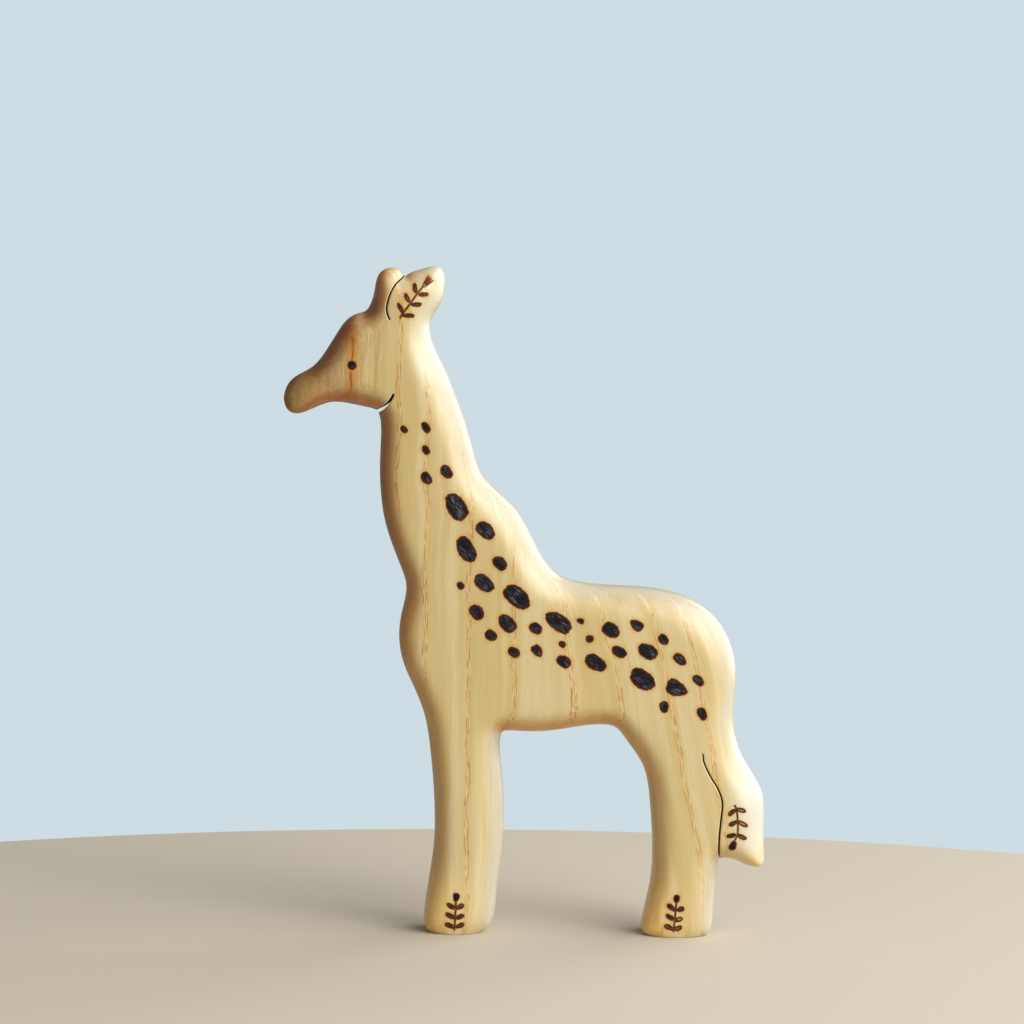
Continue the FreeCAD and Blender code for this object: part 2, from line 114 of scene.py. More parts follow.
# Sprigs: the stem, the bud's ends and width, the leaves and their width. A leaf has a base,
# a tip, and how far its inside is left unburned.
SPRIGS = {
    "ear_sprig": (
        [(-35.4, 170.0), (-34.6, 171.5), (-32.7, 174.0), (-30.8, 176.8), (-29.2, 178.9)],
        ((-29.3, 178.7), (-27.0, 181.3), 1.4),
        [(-34.6, 171.5, -36.0, 174.2, 0.1), (-32.9, 174.4, -34.1, 176.9, 0.3),
         (-31.2, 177.0, -31.6, 179.8, 0.2), (-35.0, 170.9, -31.4, 170.8, 0.1),
         (-32.5, 173.9, -29.5, 173.9, 0.2), (-30.4, 176.6, -27.8, 176.8, 0.5)],
        1.2),
    "front_foot_sprig": (
        [(-18.0, 9.6), (-18.1, 6.5), (-18.2, 4.0), (-18.3, 1.4)],
        ((-18.0, 9.3), (-17.9, 11.7), 1.8),
        [(-18.2, 7.4, -20.5, 8.6, 0.15), (-18.2, 4.6, -20.8, 6.0, 0.1),
         (-18.2, 1.9, -21.0, 3.2, 0.2), (-18.0, 7.3, -15.8, 8.5, 0.3),
         (-17.9, 4.5, -15.8, 5.7, 0.15), (-18.0, 2.0, -15.7, 3.2, 0.3)],
        1.4),
    "hind_foot_sprig": (
        [(42.9, 9.9), (42.7, 7.0), (42.5, 4.5), (42.2, 1.8)],
        ((42.9, 9.7), (43.0, 12.0), 1.7),
        [(42.7, 7.6, 40.4, 9.3, 0.1), (42.5, 5.1, 40.1, 6.3, 0.1),
         (42.2, 2.3, 39.7, 3.5, 0.5), (42.9, 7.7, 45.2, 8.3, 0.1),
         (42.5, 4.9, 44.7, 5.4, 0.9), (42.2, 2.2, 44.6, 3.1, 0.5)],
        1.4),
    "tail_sprig": (
        [(58.5, 37.1), (59.1, 36.0), (59.5, 32.8), (59.5, 29.2), (58.6, 26.9)],
        ((58.8, 27.2), (57.8, 24.5), 1.9),
        [(59.0, 36.0, 56.9, 34.3, 0.2), (59.4, 32.7, 57.1, 31.4, 0.15),
         (59.2, 28.9, 56.5, 28.4, 0.1), (59.1, 36.1, 61.7, 35.3, 1.5),
         (59.5, 32.7, 62.2, 31.2, 0.8), (59.4, 28.9, 62.0, 27.7, 0.4)],
        1.3),
}
STEM_WIDTH, STEM_TAPER, STEM_STEP = 0.5, 0.8, 0.3
# How a bud and a leaf differ from an oval.
BUD_SHAPE = {"power": 2.5, "wobble": 0.04, "step": 0.22, "taper": 0.25}
LEAF_SHAPE = {"power": 2.2, "wobble": 0.045, "step": 0.22, "taper": 0.12}
# The ear's bud fans out into strokes: their places across it, how far apart those are at
# the foot and the tip, the foot's start, and the strokes' width.
FAN = (-1.5, -0.5, 0.5, 1.5)
FAN_FOOT, FAN_TIP, FAN_START, FAN_WIDTH = 0.26, 0.62, 0.3, 0.34
# Spots are uneven, squarish ovals, the big ones burned in wider strokes. The odd ones have
# a centre, how much narrower the lower right end is than the upper left, and unevenness.
SPOT_POWER, SPOT_WOBBLE, BIG_SPOT, ODD_RADIUS = 2.25, 0.034, 1.6, 1.0
ODD_SPOTS = [(30.7, 86.6, -0.42, 0.02), (42.1, 69.2, 0.34, 0.035), (38.7, 64.1, 0.0, 0.05),
             (15.3, 87.5, -0.25, 0.03), (3.5, 79.1, 0.15, 0.05)]
WOBBLE_WAVES = ((2, 0.6), (3, 1.0), (5, 0.5), (7, 0.45), (11, 0.45), (16, 0.4))
BIG_STROKE, SMALL_STROKE, EYE_STROKE, STEM_STROKE, LEAF_STROKE = 0.62, 0.5, 0.45, 0.3, 0.4
EYE_WOBBLE, EYE_STEP, EYE_ANGLE = 0.02, 0.2, 0.6

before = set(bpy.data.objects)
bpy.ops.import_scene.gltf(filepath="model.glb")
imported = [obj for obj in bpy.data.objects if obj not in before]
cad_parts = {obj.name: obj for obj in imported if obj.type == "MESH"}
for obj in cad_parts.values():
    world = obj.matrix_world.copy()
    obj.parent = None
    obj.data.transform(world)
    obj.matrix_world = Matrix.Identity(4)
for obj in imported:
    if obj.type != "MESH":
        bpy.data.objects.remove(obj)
cad_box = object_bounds()
rng = np.random.default_rng(11)


# ---- flat geometry ----

def flat_vertices(node):
    """A CAD node's vertices in millimetres."""
    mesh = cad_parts[node].data
    co = np.zeros(len(mesh.vertices) * 3)
    mesh.vertices.foreach_get("co", co)
    return co.reshape(-1, 3) / MM


def smoothstep(x):
    """An S-shaped rise from 0 to 1."""
    x = np.clip(x, 0.0, 1.0)
    return x * x * (3.0 - 2.0 * x)


def inside(points, polygon):
    """Which points lie in a closed polygon."""
    x, z = points[:, 0], points[:, 1]
    result = np.zeros(len(points), bool)
    for (x0, z0), (x1, z1) in zip(polygon, np.roll(polygon, -1, axis=0)):
        if z0 != z1:
            crosses = (z0 > z) != (z1 > z)
            result ^= crosses & (x < (x1 - x0) * (z - z0) / (z1 - z0) + x0)
    return result


def gap_to(points, polygon):
    """Distance from each point to a closed polygon's line."""
    run = np.roll(polygon, -1, axis=0) - polygon
    square = np.maximum((run * run).sum(1), 1e-12)
    gap = np.zeros(len(points))
    for i in range(0, len(points), BATCH):
        rel = points[i:i + BATCH, None, :] - polygon[None]
        share = np.clip((rel * run).sum(2) / square, 0.0, 1.0)
        off = rel - share[:, :, None] * run
        gap[i:i + BATCH] = np.sqrt((off * off).sum(2).min(1))
    return gap


def open_curve(points, step=0.35):
    """Evenly spaced points on a smooth line through the given ones."""
    pts = np.array(points, float)
    pts = np.vstack([2 * pts[0] - pts[1], pts, 2 * pts[-1] - pts[-2]])
    out = []
    for a, b, c, d in zip(pts, pts[1:], pts[2:], pts[3:]):
        s = np.linspace(0.0, 1.0, CURVE_STEPS, endpoint=False)[:, None]
        out.append(0.5 * (2 * b + (c - a) * s + (2 * a - 5 * b + 4 * c - d) * s ** 2
                          + (3 * b - a - 3 * c + d) * s ** 3))
    return even(np.vstack(out + [pts[-2:-1]]), step)


def even(points, step):
    """The same open line with points about one step apart."""
    length = np.r_[0.0, np.cumsum(np.linalg.norm(np.diff(points, axis=0), axis=1))]
    places = np.linspace(0.0, length[-1], max(2, round(length[-1] / step) + 1))
    return np.column_stack([np.interp(places, length, points[:, k]) for k in (0, 1)])


def direction(start, end):
    """The angle of the line from one point to another."""
    return math.atan2(end[1] - start[1], end[0] - start[0])


def turning(angle):
    """The matrix whose columns are a direction and the one to its left."""
    return np.array([[math.cos(angle), -math.sin(angle)],
                     [math.sin(angle), math.cos(angle)]])


def ribbon(points, start_width, end_width, step=0.35):
    """A counter-clockwise band along a smooth line, square at its start, round at its end."""
    line = open_curve(points, step)
    along = np.gradient(line, axis=0)
    along /= np.linalg.norm(along, axis=1)[:, None]
    side = np.column_stack([-along[:, 1], along[:, 0]])
    half = np.linspace(start_width, end_width, len(line))[:, None] / 2.0
    turn = np.linspace(0.0, math.pi, TIP_STEPS)[1:-1, None]
    tip = line[-1] + (side[-1] * np.cos(turn) + along[-1] * np.sin(turn)) * end_width / 2.0
    return counter_clockwise(np.vstack([line + side * half, tip, (line - side * half)[::-1]]))


def counter_clockwise(polygon):
    """The same polygon, turned round if it runs clockwise."""
    after = np.roll(polygon, -1, axis=0)
    area = (polygon[:, 0] * after[:, 1] - after[:, 0] * polygon[:, 1]).sum()
    return polygon if area > 0.0 else polygon[::-1]


def inward(loop):
    """Unit normals that point into a counter-clockwise loop."""
    along = np.roll(loop, -1, axis=0) - np.roll(loop, 1, axis=0)
    along /= np.linalg.norm(along, axis=1)[:, None]
    return np.column_stack([-along[:, 1], along[:, 0]])


def periodic_spline(points, steps=20):
    """A dense run of points on a smooth closed curve through the given ones."""
    after = np.roll(points, -1, axis=0)
    h = np.sqrt(np.linalg.norm(after - points, axis=1))
    h_before = np.roll(h, 1)
    system = np.diag(2.0 * (h + h_before))
    system += np.roll(np.diag(h), 1, axis=1) + np.roll(np.diag(h_before), -1, axis=1)
    slope = (after - points) / h[:, None]
    bend = np.linalg.solve(system, 6.0 * (slope - np.roll(slope, 1, axis=0)))
    dense = []
    for b in np.arange(steps) / steps:
        a = 1.0 - b
        lift = (a ** 3 - a) * bend + (b ** 3 - b) * np.roll(bend, -1, axis=0)
        dense.append(a * points + b * after + lift * (h ** 2)[:, None] / 6.0)
    return np.stack(dense, 1).reshape(-1, 2)


def spaced_loop(dense, finest, coarsest):
    """Points round a closed curve, closer together where it bends."""
    run = np.roll(dense, -1, axis=0) - dense
    step = np.linalg.norm(run, axis=1)
    along = run / step[:, None]
    before = np.roll(along, 1, axis=0)
    cross = np.abs(along[:, 0] * before[:, 1] - along[:, 1] * before[:, 0])
    bend = cross / step
    for _ in range(BEND_BLUR):
        bend = (np.roll(bend, 1) + 2.0 * bend + np.roll(bend, -1)) / 4.0
    density = step / np.clip(BEND_STEP / np.maximum(bend, 1e-6), finest, coarsest)
    total = np.r_[0.0, np.cumsum(density)]
    places = np.linspace(0.0, total[-1], round(total[-1]), endpoint=False)
    closed = np.vstack([dense, dense[:1]])
    return np.column_stack([np.interp(places, total, closed[:, k]) for k in (0, 1)])


def board_outline():
    """The board's outline, read from the rim of the CAD board's plain band."""
    links = {}
    for node in WOOD_NODES:
        co = flat_vertices(node)
        keys = [tuple(key) for key in np.round(co[:, (0, 2)], 3)]
        on_rim = np.abs(co[:, 1] + WALL_HALF) < 1e-3
        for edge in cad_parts[node].data.edges:
            i, j = edge.vertices
            if on_rim[i] and on_rim[j] and keys[i] != keys[j]:
                links.setdefault(keys[i], set()).add(keys[j])
                links.setdefault(keys[j], set()).add(keys[i])
    ends = sorted(key for key, others in links.items() if len(others) == 1)
    left = set(links)
    here = ends[0]
    walk = []
    while here is not None:
        walk.append(here)
        left.discard(here)
        near = [k for k in links[here] if k in left] or [k for k in ends if k in left]
        here = min(near, key=lambda k: math.dist(k, walk[-1])) if near else None
    loop = []
    for a, b in zip(walk, walk[1:] + walk[:1]):
        if not loop or math.dist(a, loop[-1]) > RIM_STEP:
            loop.append(a)
        if max(a[1], b[1]) < 0.05 and abs(a[0] - b[0]) > SOLE_LEAST:
            for share in SOLE_SHARES:
                dip = SOLE_DIP * (1.0 - abs(2.0 * share - 1.0) ** SOLE_CURVE)
                loop.append((a[0] + (b[0] - a[0]) * share, -dip))
    return counter_clockwise(np.array(loop))


# ---- the surface of the board ----

OUTLINE = spaced_loop(periodic_spline(board_outline()), *OUTLINE_STEPS)
OUTLINE = np.clip(OUTLINE, (cad_box[0][0] / MM, LOWEST),
                  (cad_box[1][0] / MM, cad_box[1][2] / MM))
OUTLINE_IN = inward(OUTLINE)
FACING_BACK, FACING_UP = np.maximum(0.0, -OUTLINE_IN).T
ROUNDING = (ROUND_SIDE + (ROUND_TOP - ROUND_SIDE) * FACING_UP
            + (ROUND_BACK - ROUND_SIDE) * FACING_BACK)


def edge_fields(points):
    """Distance to the outline, a smoothed distance, and how far in the edge is rounded.

    The smoothed distance sums the outline's pull as distance to the power -4 over each
    segment, so it equals the distance beside a long straight edge and has no creases.
    """
    run = np.roll(OUTLINE, -1, axis=0) - OUTLINE
    size = np.linalg.norm(run, axis=1)
    along = run / size[:, None]
    rounding = (ROUNDING + np.roll(ROUNDING, -1)) / 2.0
    batches = []
    for i in range(0, len(points), BATCH):
        rel = points[i:i + BATCH, None, :] - OUTLINE[None]
        start = -(rel * along).sum(2)
        off = np.abs(rel[:, :, 0] * along[:, 1] - rel[:, :, 1] * along[:, 0])
        end = start + size
        beyond = np.maximum(np.maximum(start, -end), 0.0)
        gap = np.sqrt(off ** 2 + beyond ** 2).min(1)
        off = np.maximum(off, 1e-2)
        pull = ((end / (off ** 2 + end ** 2) - start / (off ** 2 + start ** 2)) * off
                + np.arctan2(end, off) - np.arctan2(start, off)) / (2.0 * off ** 3)
        pull = np.maximum(pull, 1e-12)
        total = pull.sum(1)
        soft = (math.pi / (2.0 * total)) ** (1.0 / 3.0)
        batches.append((gap, soft, (pull * rounding).sum(1) / total))
    return np.hstack(batches)


def surface(points):
    """Half thickness of the plain rounded board at each point, and the distance inside."""
    gap, soft, reach = edge_fields(points)
    depth = gap + (soft - gap) * smoothstep((gap - SOFT_START) / SOFT_WIDTH)
    share = depth / reach
    eased = 1.0 - np.log1p(np.exp(ROUND_END * (1.0 - share))) / ROUND_END
    eased = np.clip(eased + FLAT_SLOPE * (1.0 - share), 0.0, 1.0)
    x, z = points[:, 0], points[:, 1]
    thin = np.clip((MUZZLE_START - x) / (MUZZLE_START - MUZZLE_TIP), 0.0, 1.0)
    half = BOARD_HALF - MUZZLE_DROP * thin ** MUZZLE_CURVE
    bow = np.sqrt(np.clip(1.0 - (1.0 - eased) ** 2, 0.0, 1.0))
    height = WALL_HALF + (half - WALL_HALF) * bow
    hollows = 0.5
    for (length, sway, across, start), (p, q) in zip(HOLLOW_WAVES, ((x, z), (z, x))):
        hollows = hollows + 0.25 * np.sin(p / length + sway * np.sin(q / across + start))
    height -= HOLLOW_DEPTH * hollows * bow
    height[gap < 1e-3] = WALL_HALF
    return height, gap


# ---- the marks' outlines ----

def islands(node):
    """The flat points of each separate solid in a CAD node, from left to right."""
    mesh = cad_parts[node].data
    co = flat_vertices(node)
    keys = [tuple(key) for key in np.round(co, 3)]
    parent = {}

    def root(key):
        while parent.setdefault(key, key) != key:
            parent[key] = parent[parent[key]]
            key = parent[key]
        return key

    for edge in mesh.edges:
        parent[root(keys[edge.vertices[0]])] = root(keys[edge.vertices[1]])
    groups = {}
    for key in keys:
        groups.setdefault(root(key), set()).add((key[0], key[2]))
    found = [np.array(sorted(group)) for group in groups.values()]
    return sorted(found, key=lambda group: group[:, 0].mean())


def fitted_oval(points):
    """Centre, half length, half width and direction of the oval round some points."""
    best = None
    for degrees in range(0, 180, 2):
        turned = turning(math.radians(degrees))
        low, high = (points @ turned).min(0), (points @ turned).max(0)
        length, width = (high - low) / 2.0
        if best is None or best[2] - width > 5e-7:
            best = (turned @ (low + high) / 2.0, length, width, math.radians(degrees))
    return best


def oval(centre, half_length, half_width, angle, power=2.0, wobble=0.0, step=0.27,
         taper=0.0):
    """A counter-clockwise oval, squarer, uneven or narrower at its start as asked."""
    around = 2.0 * math.pi * math.sqrt((half_length ** 2 + half_width ** 2) / 2.0)
    turn = np.linspace(0.0, 2.0 * math.pi, max(12, round(around / step)), endpoint=False)
    c, s = np.cos(turn), np.sin(turn)
    size = (np.abs(c) ** power + np.abs(s) ** power) ** (-1.0 / power)
    if wobble:
        phase = rng.random(len(WOBBLE_WAVES)) * 2.0 * math.pi
        for (k, weight), start in zip(WOBBLE_WAVES, phase):
            size = size * (1.0 + wobble * weight * np.sin(k * turn + start))
    u, v = size * c * half_length, size * s * half_width * (1.0 + taper * c)
    return centre + np.column_stack([u, v]) @ turning(angle).T


def oval_between(start, end, width, **more):
    """The oval whose length runs from one point to another."""
    return oval(np.mean([start, end], axis=0), math.dist(start, end) / 2.0, width / 2.0,
                direction(start, end), **more)


def all_marks():
    """Each mark's node, outline, its strokes' direction and spacing, and paleness.

    Paleness says how far a leaf's inside is unburned. A stem has -1 and is brown.
    """
    marks = []
    for name in SPOT_NODES:
        for group in islands("left_" + name):
            centre, length, width, angle = fitted_oval(group)
            taper, wobble = 0.0, SPOT_WOBBLE
            for x, z, odd_taper, odd_wobble in ODD_SPOTS:
                if math.dist(centre, (x, z)) < ODD_RADIUS:
                    taper, wobble = odd_taper, odd_wobble
            shape = oval(centre, length, width, angle, SPOT_POWER, wobble, taper=taper)
            space = BIG_STROKE if width > BIG_SPOT else SMALL_STROKE
            marks.append((name, shape, angle, space, 0.0))
    centre, length, width, _ = fitted_oval(islands("left_eye")[0])
    shape = oval(centre, length, width, 0.0, wobble=EYE_WOBBLE, step=EYE_STEP)
    marks.append(("eye", shape, EYE_ANGLE, EYE_STROKE, 0.0))
    for name, (stem, bud, leaves, leaf_width) in SPRIGS.items():
        shape = ribbon(stem, STEM_WIDTH, STEM_WIDTH * STEM_TAPER, STEM_STEP)
        marks.append((name, shape, None, STEM_STROKE, -1.0))
        for stroke in bud_strokes(name, *bud):
            shape = oval_between(*stroke, **BUD_SHAPE)
            marks.append((name, shape, direction(*bud[:2]), LEAF_STROKE, 0.0))
        for *ends, paleness in leaves:
            base, tip = ends[:2], ends[2:]
            shape = oval_between(base, tip, leaf_width, **LEAF_SHAPE)
            marks.append((name, shape, direction(base, tip), LEAF_STROKE, paleness))
    return marks


def bud_strokes(name, start, end, width):
    """A bud is one stroke, except on the ear, where four thin ones fan out."""
    if name != "ear_sprig":
        return [(start, end, width)]
    start, end = np.array(start), np.array(end)
    along, across = turning(direction(start, end)).T
    return [(start + across * k * FAN_FOOT + along * FAN_START, end + across * k * FAN_TIP,
             FAN_WIDTH) for k in FAN]


MARKS = all_marks()
MARK_SHAPES = [shape for _, shape, *_ in MARKS]
SLOTS = [ribbon(*cut, CUT_STEP) for cut in CUTS]


def gap_to_shapes(points, shapes):
    """Distance to the nearest of some outlines, negative inside one."""
    nearest = np.full(len(points), FAR)
    for shape in shapes:
        low, high = shape.min(0) - REACH, shape.max(0) + REACH
        near = np.flatnonzero(((points > low) & (points < high)).all(1))
        gap = gap_to(points[near], shape)
        gap[inside(points[near], shape)] *= -1.0
        nearest[near] = np.minimum(nearest[near], gap)
    return nearest


# ---- the board's flat triangulation ----

def clear_of(busy, candidates, spacing):
    """The candidates with no busy point within the spacing."""
    tree = KDTree(len(busy))
    for i, point in enumerate(busy):
        tree.insert((*point, 0.0), i)
    tree.balance()
    far = [tree.find((*p, 0.0))[2] >= spacing for p in candidates]
    return candidates[np.array(far, bool)]


def with_thinned(placed, rings, spacing):
    """The points placed so far, and the rings' points that aren't too near one."""
    cells = {}
    result = []
    for point in clear_of(placed, np.vstack(rings), spacing):
        cell = tuple((point // spacing).astype(int))
        crowd = [other for dx in (-1, 0, 1) for dz in (-1, 0, 1)
                 for other in cells.get((cell[0] + dx, cell[1] + dz), ())]
        if all(math.dist(point, other) >= spacing for other in crowd):
            cells.setdefault(cell, []).append(point)
            result.append(point)
    return np.vstack([placed, result])


def triangulated(points, edges):
    """Points and the triangles over them, which keep the edges and turn the same way."""
    made = delaunay_2d_cdt([Vector(p) for p in points], edges, [], 0, JOIN)
    points = np.array([tuple(v) for v in made[0]])
    faces = np.array(made[2])
    a, b, c = np.moveaxis(points[faces], 1, 0)
    (bx, bz), (cx, cz) = (b - a).T, (c - a).T
    area = bx * cz - cx * bz
    faces[area < 0.0] = faces[area < 0.0][:, ::-1]
    return points, faces[np.abs(area) > SLIVER]


def border_of(triangles):
    """The directed sides that only one triangle has."""
    sides = {side for a, b, c in triangles for side in ((a, b), (b, c), (c, a))}
    return [(a, b) for a, b in sorted(sides) if (b, a) not in sides]


def constraint_rings(loops):
    """All the loops' points in one list, with the edges that join them."""
    points, edges = [], []
    for loop, closed in loops:
        first = sum(len(p) for p in points)
        points.append(loop)
        count = len(loop)
        edges += [(first + i, first + (i + 1) % count) for i in range(count - (not closed))]
    return np.vstack(points), edges


def flat_mesh():
    """Points and triangles that fill the outline, without the saw cuts."""
    loops = [(OUTLINE, True), (even(np.array(FLOOR_LINE), FLOOR_STEP), False)]
    loops += [(slot, True) for slot in SLOTS]
    for cut, root in ((EAR_CUT, EAR_ROOT), (TAIL_CUT, TAIL_ROOT)):
        loops.append((even(np.array([cut[-1], root]), ROOT_STEP), False))
    loops += [(shape, True) for shape in MARK_SHAPES]
    placed, edges = constraint_rings(loops)

    rings = []
    for offset in (-PIT_WALL, *MARK_RINGS):
        for shape in MARK_SHAPES:
            ring = shape - inward(shape) * offset
            gap = gap_to_shapes(ring, MARK_SHAPES)
            rings.append(ring[np.abs(gap - offset) < RING_SLACK])
    rings += [slot - inward(slot) * offset for slot in SLOTS for offset in SLOT_RINGS]
    placed = with_thinned(placed, rings, RING_SPACING)
    rings = [shape - inward(shape) * o for o in MARK_OUTER_RINGS for shape in MARK_SHAPES]
    placed = with_thinned(placed, rings, OUTER_SPACING)
    for offset in RING_OFFSETS:
        ring = OUTLINE + OUTLINE_IN * offset
        ring = ring[np.abs(edge_fields(ring)[0] - offset) < RING_SLACK * offset + 1e-4]
        ring = clear_of(placed[len(OUTLINE):], ring, EDGE_CLEARANCE)
        placed = np.vstack([placed, ring])
    low, high = OUTLINE.min(0), OUTLINE.max(0)
    rows = []
    for k, z in enumerate(np.arange(low[1], high[1], FILL_SPACING * ROW_RATIO)):
        x = np.arange(low[0] + FILL_SPACING / 2.0 * (k % 2), high[0], FILL_SPACING)
        rows.append(np.column_stack([x, np.full(len(x), z)]))
    fill = np.vstack(rows)
    fill = fill[inside(fill, OUTLINE)]
    fill = fill[gap_to(fill, OUTLINE) > RING_OFFSETS[-1] + FILL_MARGIN]
    fill = clear_of(placed, fill, FILL_CLEARANCE)

    points, faces = triangulated(np.vstack([placed, fill]), edges)
    centre = points[faces].mean(1)
    keep = inside(centre, OUTLINE) & (centre[:, 1] > 0.0)
    for slot in SLOTS:
        keep &= ~inside(centre, slot)
    return points, faces[keep]


# ---- meshes ----

def add_object(name, data):
    """A new object in the scene, at the origin."""
    thing = bpy.data.objects.new(name, data)
    bpy.context.scene.collection.objects.link(thing)
    return thing


def new_object(name, points, faces, attributes, sharp_degrees):
    """A mesh object from millimetres, with smooth shading except at sharp corners."""
    mesh = bpy.data.meshes.new(name)
    mesh.from_pydata((points * MM).tolist(), [], faces)
    mesh.validate()
    mesh.shade_smooth()
    mesh.set_sharp_from_angle(angle=math.radians(sharp_degrees))
    for key, values in attributes.items():
        kind, field = (("FLOAT", "value"), ("FLOAT_VECTOR", "vector"))[values.ndim - 1]
        layer = mesh.attributes.new(key, kind, "POINT")
        layer.data.foreach_set(field, values.astype(np.float32).ravel())
    return add_object(name, mesh)


def board_piece(name, points, faces, height, fields, seam_normals):
    """One piece of the board: both faces and the strips that join them at its borders.

    Each field has its values on the faces and one plain value for the strips, or None
    where the strips take the border's value. Pieces share their normals at the seams.
    """
    used, flat = np.unique(faces, return_inverse=True)
    flat = flat.reshape(faces.shape)
    xz, h = points[used], height[used]
    count = len(used)
    left = np.column_stack([xz[:, 0], -h, xz[:, 1]])
    right = left * (1, -1, 1)
    tris = [tuple(f) for f in flat.tolist()]
    border = border_of(tris)
    tris += [(a + count, c + count, b + count) for a, b, c in tris]
    deep = smoothstep(fields["edge_gap"][0][used] / WANDER_FROM) * (xz[:, 1] > WANDER_LOWEST)
    columns = {}
    extra = []
    for i in sorted({i for pair in border for i in pair}):
        first = 2 * count + len(extra)
        for k in range(1, STRIPS):
            bow = WANDER * math.sin(math.pi * k / STRIPS) * deep[i]
            bow = -bow if xz[i, 0] > 0.0 else bow
            extra.append(left[i] + (right[i] - left[i]) * k / STRIPS + (bow, 0.0, 0.0))
        columns[i] = [i] + list(range(first, first + STRIPS - 1)) + [i + count]
    quads = []
    for a, b in border:
        up, down = columns[b], columns[a]
        quads += [(up[k], down[k], down[k + 1], up[k + 1]) for k in range(STRIPS)]
    everything = np.vstack([left, right, np.array(extra)])
    attributes = {}
    for key, (values, plain) in fields.items():
        part = values[used]
        rest = np.repeat(part[list(columns)], STRIPS - 1)
        if plain is not None:
            rest[:] = plain
        attributes[key] = np.concatenate([part, part, rest])
    piece = new_object(name, everything, tris + quads, attributes, BOARD_SHARP)
    mesh = piece.data
    normals = np.zeros((len(mesh.loops), 3))
    for loop in range(len(tris) * 3):
        i = mesh.loops[loop].vertex_index
        corner = used[i % count]
        if corner in seam_normals:
            normals[loop] = seam_normals[corner] * (1.0, 1.0 if i < count else -1.0, 1.0)
    mesh.normals_split_custom_set(normals.tolist())
    return piece


def board_pieces():
    """The carved body, the ear and the tail, which share their surface at the roots."""
    points, faces = flat_mesh()
    height, edge_gap = surface(points)
    mark_gap = gap_to_shapes(points, MARK_SHAPES)
    slot_gap = gap_to_shapes(points, SLOTS)
    height -= PIT_DEPTH * smoothstep(-mark_gap / PIT_WALL)
    wear = 1.0 - np.clip(slot_gap / EASE_WIDTH, 0.0, 1.0)
    height -= np.where(height > WALL_HALF + EASE_ABOVE, EASE * wear ** 2, 0.0)

    lifted = np.column_stack([points[:, 0], -height, points[:, 1]])
    corner = lifted[faces]
    flat_normals = np.cross(corner[:, 1] - corner[:, 0], corner[:, 2] - corner[:, 0])
    normals = np.zeros_like(lifted)
    np.add.at(normals, faces, flat_normals[:, None])

    # Painted shade on the saw cuts' walls, fading out just beside each cut.
    sawn = 1.0 - smoothstep(slot_gap / CUT_SHADE_WIDTH)
    fields = {"mark_gap": (mark_gap, FAR), "edge_gap": (edge_gap, 0.0),
              "sawn": (sawn, None)}
    centre = points[faces].mean(1)
    in_ear = inside(centre, np.vstack([open_curve(EAR_CUT), EAR_ROOT, EAR_BEYOND]))
    in_tail = inside(centre, np.vstack([open_curve(TAIL_CUT), TAIL_ROOT, TAIL_BEYOND]))
    groups = {"carved_body": ~in_ear & ~in_tail, "ear_flap": in_ear, "tail_flap": in_tail}
    corners = [np.unique(faces[chosen]) for chosen in groups.values()]
    shared = np.flatnonzero(np.bincount(np.concatenate(corners)) > 1)
    seam = {i: normals[i] / np.linalg.norm(normals[i]) for i in shared}
    return {name: board_piece(name + "_wood", points, faces[chosen], height, fields, seam)
            for name, chosen in groups.items()}


def mark_patch(shape, angle, space, pale, seed):
    """One burned mark on the left side: a ridged skin closed underneath."""
    shape = shape - inward(shape) * MARK_OVERLAP
    if angle is None:
        angle = math.atan2(*np.ptp(shape, axis=0)[::-1])
    centre = shape.mean(0)
    turned = turning(angle)
    local = (shape - centre) @ turned
    fine = space / STROKE_ROWS
    u = np.arange(local[:, 0].min(), local[:, 0].max(), min(STROKE_STEP, fine * STROKE_RATIO))
    v = np.arange(local[:, 1].min(), local[:, 1].max(), fine)
    grid = centre + np.array([(a, b) for b in v for a in u]) @ turned.T
    grid = grid[inside(grid, shape)]
    grid = grid[gap_to(grid, shape) > SKIN_MARGIN]
    ring = shape + inward(shape) * SKIN_RING
    ring = ring[inside(ring, shape)]
    points, edges = constraint_rings([(shape, True)])
    points = np.vstack([points, ring, clear_of(ring, grid, SKIN_RING)])
    points, faces = triangulated(points, edges)
    faces = faces[inside(points[faces].mean(1), shape)]
    gap = gap_to(points, shape)
    local = (points - centre) @ turned
    sway = STROKE_SWAY * np.sin(local[:, 0] * SWAY_TURN + seed * SWAY_START)
    ridge = 1.0 - np.abs(np.sin(math.pi * (local[:, 1] / space + sway)))
    plain = surface(points)[0]
    top = (plain - MARK_DEPTH - RIM_DROP * (1.0 - smoothstep(gap / RIM_WIDTH))
           + RIDGE_HEIGHT * (ridge - RIDGE_MEAN)
           * smoothstep((gap - RIDGE_START) / RIDGE_WIDTH))
    bottom = plain - PIT_DEPTH - MARK_SUNK
    count = len(points)
    skins = [np.column_stack([points[:, 0], -h, points[:, 1]]) for h in (top, bottom)]
    upper = [tuple(face) for face in faces.tolist()]
    walls = [(b, a, a + count, b + count) for a, b in border_of(upper)]
    under = [(a + count, c + count, b + count) for a, b, c in upper]
    stroke = np.column_stack([local, np.full(count, seed * STROKE_SHIFT)])
    attributes = {"stroke": np.vstack([stroke, stroke]), "rim_gap": np.r_[gap, gap],
                  "pale": np.full(2 * count, pale)}
    return np.vstack(skins), upper + walls + under, attributes


